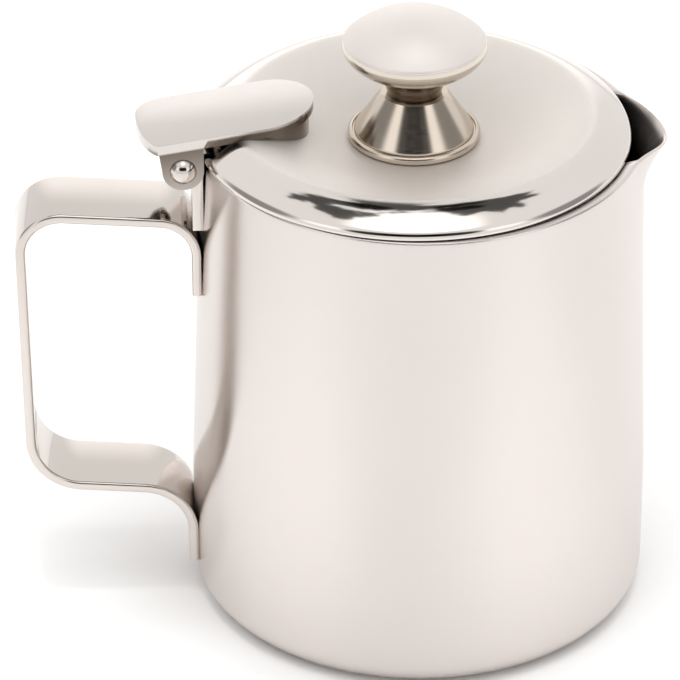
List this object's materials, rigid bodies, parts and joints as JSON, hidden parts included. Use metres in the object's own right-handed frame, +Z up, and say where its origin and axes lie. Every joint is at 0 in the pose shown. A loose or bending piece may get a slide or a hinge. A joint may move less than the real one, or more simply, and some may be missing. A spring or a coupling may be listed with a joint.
{
  "type": "hot milk jug with hinged lid",
  "caption": "Tapered steel milk jug with a pouring beak, a bent strap handle and a hinged lid with a thumb leaf and a waisted knob.",
  "frame": {"origin": "centre of the jug's round base, on the floor", "axes": "+Z up along the jug's axis, +X towards the spout, handle towards -X"},
  "size_m": [0.1307, 0.093, 0.1294],
  "materials": {
    "satin_steel": "fine satin, drawn round the jug",
    "polished_steel": "mirror polish",
    "lid_steel": "bright polish",
    "knob_steel": "turned and polished",
    "screw_steel": "plain"
  },
  "bodies": {
    "jug": {"body": "satin_steel", "handle": "polished_steel", "hinge_bracket": "polished_steel", "hinge_pin": "polished_steel"},
    "cover": {"lid": "lid_steel", "lid_leaf": "lid_steel", "knob_foot": "knob_steel", "knob_cap": "knob_steel", "knob_screw": "screw_steel"}
  },
  "joints": [
    {"name": "lid_hinge", "type": "hinge", "parent": "jug", "child": "cover", "pos_m": [-0.0477, 0, 0.1008], "axis": [0, -1, 0], "range_deg": [0, 100]}
  ]
}
